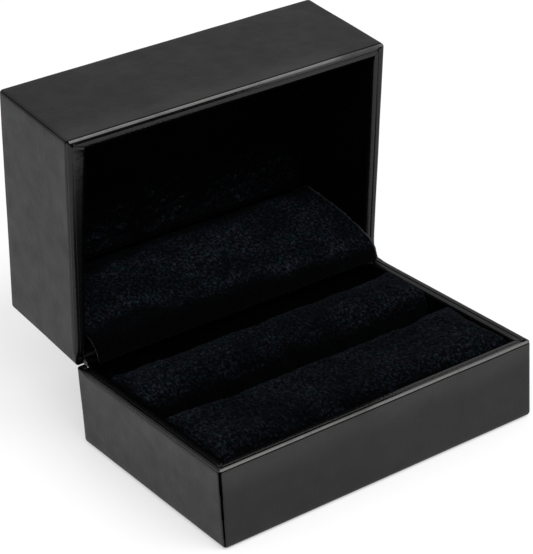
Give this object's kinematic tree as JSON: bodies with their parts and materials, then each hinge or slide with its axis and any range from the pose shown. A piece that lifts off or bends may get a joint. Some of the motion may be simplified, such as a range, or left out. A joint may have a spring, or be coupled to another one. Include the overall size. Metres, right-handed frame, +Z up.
{
  "type": "hinged ring box",
  "caption": "Hinged leatherette-covered ring box standing open, with a low base holding velvet rolls and a ring groove, a deep velvet-lined lid and a curved cover over its steel hinge.",
  "frame": {"origin": "centre of the base's underside, in the plane the box stands on", "axes": "+X along the hinge, to the right seen from the front; +Y from the front towards the hinge; +Z up"},
  "size_m": [0.08, 0.0815, 0.0756],
  "materials": {
    "leatherette": "satin black leatherette paper",
    "shell_plastic": "matte black moulding",
    "velvet": "black velvet pile",
    "foam": "soft grey-black foam",
    "card": "black-grey card",
    "foot_paper": "matte black paper",
    "hinge_steel": "darkened spring steel"
  },
  "bodies": {
    "base": {"base_shell": "shell_plastic", "base_wrap": "leatherette", "base_rim_frame": "leatherette", "base_lining": "velvet", "base_rear_lining": "velvet", "base_foot_sheet": "foot_paper", "insert_board": "card", "front_roll_core": "foam", "front_roll_cover": "velvet", "middle_roll_core": "foam", "middle_roll_cover": "velvet", "hinge_base_leaf": "hinge_steel", "hinge_pin": "hinge_steel", "base_rivets": "hinge_steel"},
    "lid": {"lid_shell": "shell_plastic", "lid_wrap": "leatherette", "lid_rim_frame": "leatherette", "lid_lining": "velvet", "lid_pad_board": "card", "lid_pad_foam": "foam", "lid_pad_cover": "velvet", "hinge_cover_card": "card", "hinge_cover_velvet": "velvet", "hinge_lid_leaf": "hinge_steel", "hinge_snap_spring": "hinge_steel", "lid_rivets": "hinge_steel"}
  },
  "joints": [
    {"name": "lid_hinge", "type": "hinge", "parent": "base", "child": "lid", "pos_m": [0, 0.027, 0.0187], "axis": [1, 0, 0], "range_deg": [0, 83]}
  ]
}
